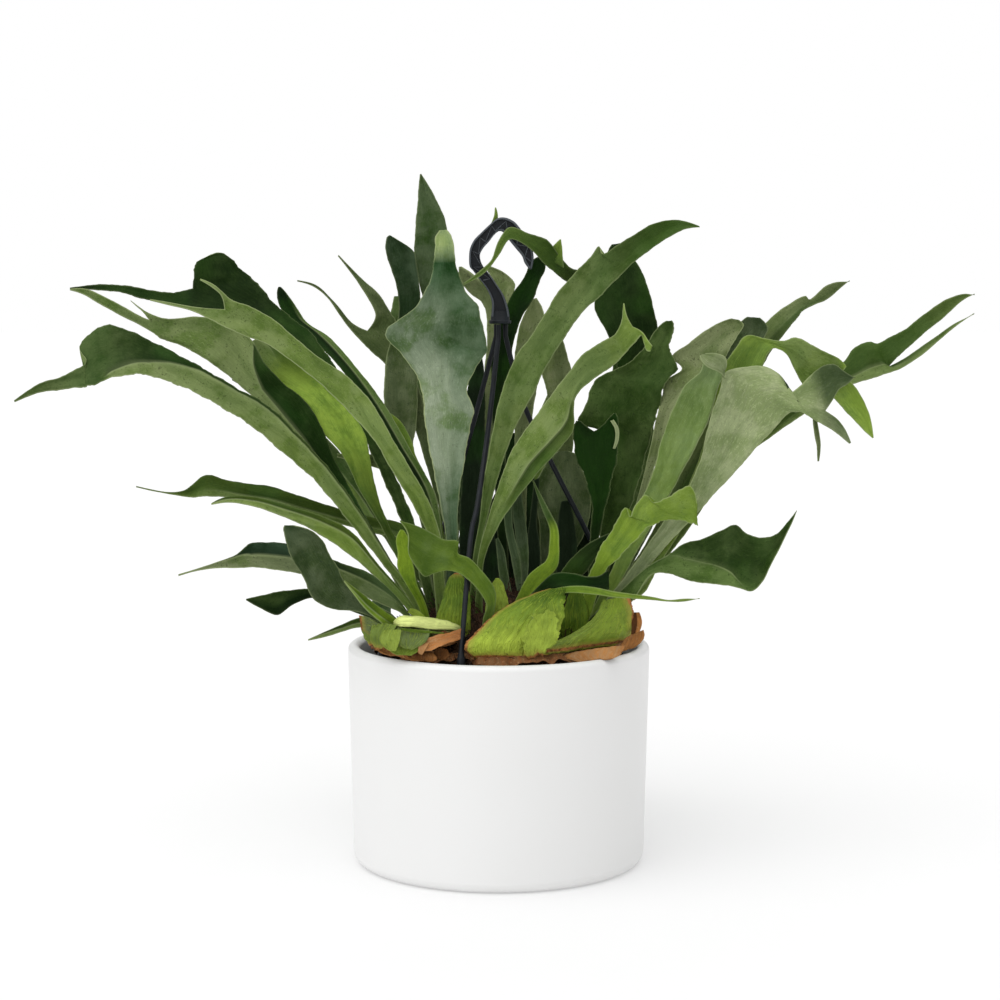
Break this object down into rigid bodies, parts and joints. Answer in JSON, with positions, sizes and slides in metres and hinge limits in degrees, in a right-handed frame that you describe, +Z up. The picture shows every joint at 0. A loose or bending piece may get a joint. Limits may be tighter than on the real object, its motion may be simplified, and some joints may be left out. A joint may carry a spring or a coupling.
{
  "type": "staghorn fern in pot",
  "caption": "Staghorn fern with spreading forked antler fronds and light green shields, in a hanger basket with a black hook, standing in a white cylindrical pot.",
  "frame": {"origin": "centre of the pot's flat bottom, on the surface it stands on", "axes": "+Z up along the pot's axis; -Y towards the viewer; +X to the viewer's right, along the plant's widest spread"},
  "size_m": [0.6582, 0.3307, 0.4808],
  "materials": {
    "glazed_pot": "satin white glaze",
    "basket_plastic": "plain moulded",
    "hanger_plastic": "satin moulded",
    "bark_mix": "coarse bark and roots",
    "rhizome_fibre": "fibrous",
    "dark_frond": "leathery, fine down",
    "pale_frond": "leathery, felted",
    "young_frond": "leathery, slightly glossy",
    "green_shield": "leathery, veined",
    "dry_shield": "dry and papery"
  },
  "bodies": {
    "root": {"basket": "basket_plastic", "frond_back_broad": "pale_frond", "frond_back_grey": "pale_frond", "frond_back_olive": "pale_frond", "frond_back_pale": "pale_frond", "frond_behind_hook": "dark_frond", "frond_curled": "pale_frond", "frond_dark_back": "dark_frond", "frond_dark_blunt": "dark_frond", "frond_dark_fan": "dark_frond", "frond_dark_fold": "dark_frond", "frond_diagonal": "pale_frond", "frond_front_narrow": "young_frond", "frond_left_back": "dark_frond", "frond_left_blade": "dark_frond", "frond_left_cross": "dark_frond", "frond_left_dark": "dark_frond", "frond_left_fork": "dark_frond", "frond_left_high": "pale_frond", "frond_left_inner": "young_frond", "frond_left_low": "dark_frond", "frond_left_lower": "dark_frond", "frond_left_mid": "pale_frond", "frond_left_paddle": "dark_frond", "frond_left_small": "dark_frond", "frond_left_strap": "young_frond", "frond_left_wide": "pale_frond", "frond_mitten": "dark_frond", "frond_over_hook": "dark_frond", "frond_right_arch": "young_frond", "frond_right_blue": "dark_frond", "frond_right_far": "dark_frond", "frond_right_green": "young_frond", "frond_right_low": "dark_frond", "frond_right_olive": "pale_frond", "frond_right_pale": "pale_frond", "frond_right_up": "dark_frond", "frond_right_young": "young_frond", "frond_short_bright": "young_frond", "frond_star": "pale_frond", "frond_tall": "dark_frond", "frond_wavy_dark": "dark_frond", "frond_young_arch": "young_frond", "frond_young_left": "young_frond", "hanger_hook": "hanger_plastic", "hanger_strand_1": "hanger_plastic", "hanger_strand_2": "hanger_plastic", "hanger_strand_3": "hanger_plastic", "mound": "rhizome_fibre", "pot": "glazed_pot", "root_ball": "bark_mix", "shield_brown_fold": "dry_shield", "shield_front": "green_shield", "shield_left": "green_shield", "shield_right": "green_shield", "shield_rolled": "green_shield", "shield_upright": "green_shield", "skirt": "dry_shield", "tuft_back_left": "dark_frond", "tuft_back_right": "dark_frond"}
  },
  "joints": []
}
